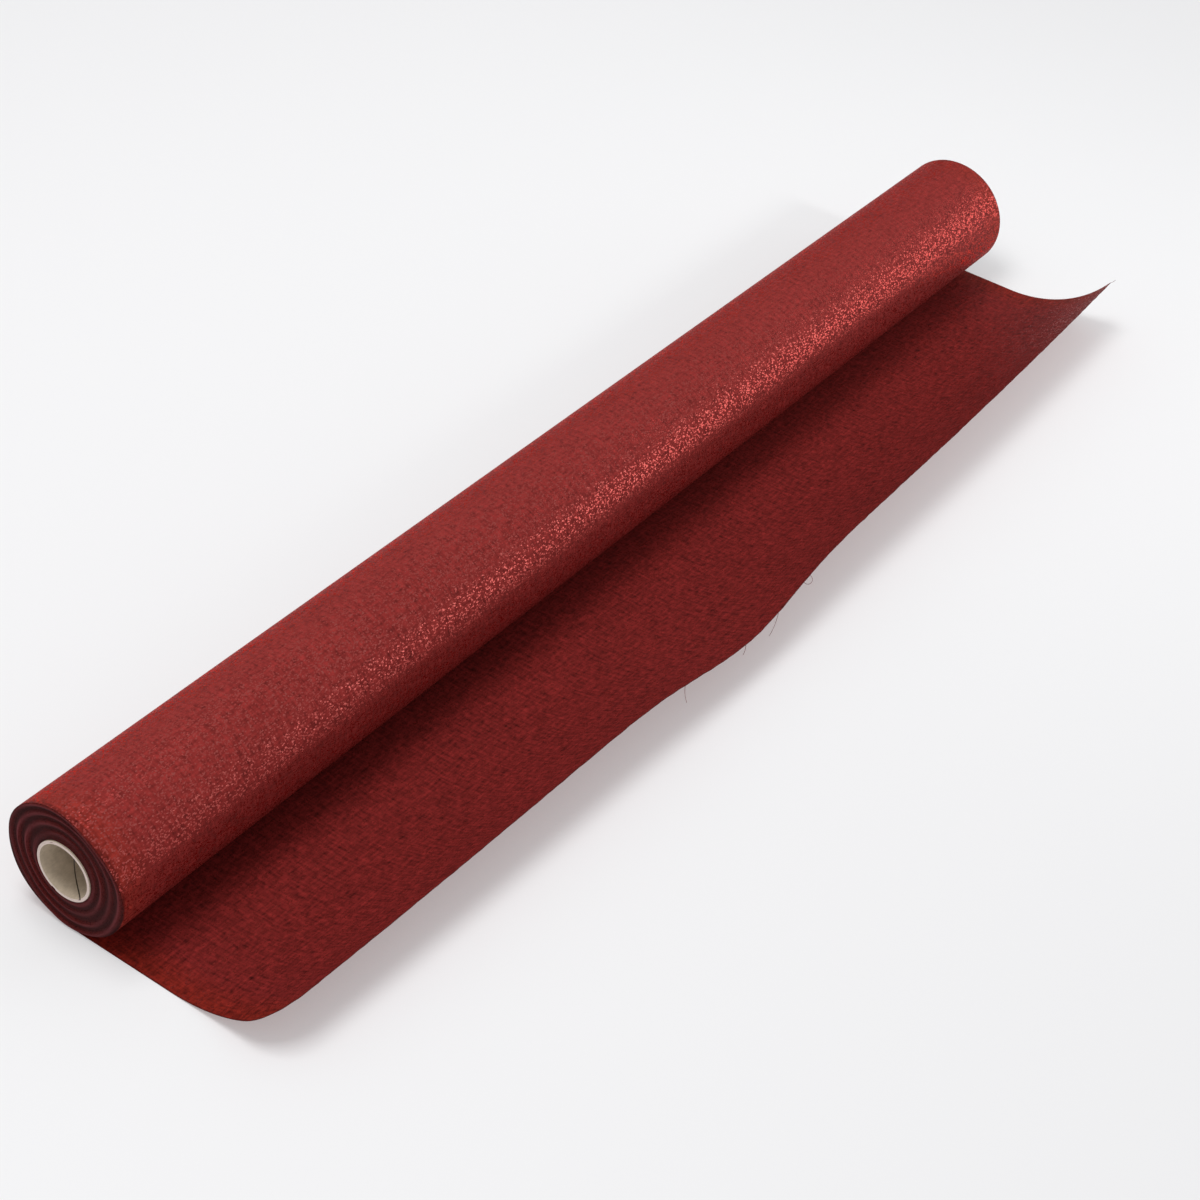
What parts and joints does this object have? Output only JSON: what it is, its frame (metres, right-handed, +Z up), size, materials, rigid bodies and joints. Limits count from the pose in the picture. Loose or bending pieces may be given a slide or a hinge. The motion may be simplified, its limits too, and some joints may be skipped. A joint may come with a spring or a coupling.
{
  "type": "fabric bolt",
  "caption": "Roll of wide woven fabric on a spiral-wound paper core, with its free end laid flat in front and the cut edge curling up.",
  "frame": {"origin": "on the surface that the roll lies on, directly below the middle of its axis", "axes": "+X along the roll's axis, away from the near end; +Z up; the free end of the cloth lies towards -Y"},
  "size_m": [0.702, 0.1496, 0.0623],
  "materials": {
    "cloth_outside": "woven, with a fine metallic glitter",
    "cloth_inside": "woven, matte",
    "core_inside": "matte paper",
    "core_board": "matte paper, pale where it is cut",
    "tape": "matte"
  },
  "bodies": {
    "laid_cloth": {"feed_web": "cloth_inside", "laid_web": "cloth_inside"},
    "roll": {"core_inner_ply": "core_inside", "core_middle_ply": "core_board", "core_outer_ply": "core_board", "start_tape": "tape", "wound_fabric": "cloth_outside"},
    "free_end": {"free_end": "cloth_inside"}
  },
  "joints": [
    {"name": "roll_turn", "type": "hinge", "parent": "laid_cloth", "child": "roll", "pos_m": [0, 0, 0.03136], "axis": [-1, 0, 0], "range_deg": [0, 360]},
    {"name": "free_end_pull", "type": "slide", "parent": "laid_cloth", "child": "free_end", "axis": [0, -1, 0], "range_m": [0, 0.197], "deforming": ["laid_web"]}
  ],
  "couplings": [
    {"joint": "free_end_pull", "follows": "roll_turn", "m_per_rad": 0.03123}
  ]
}
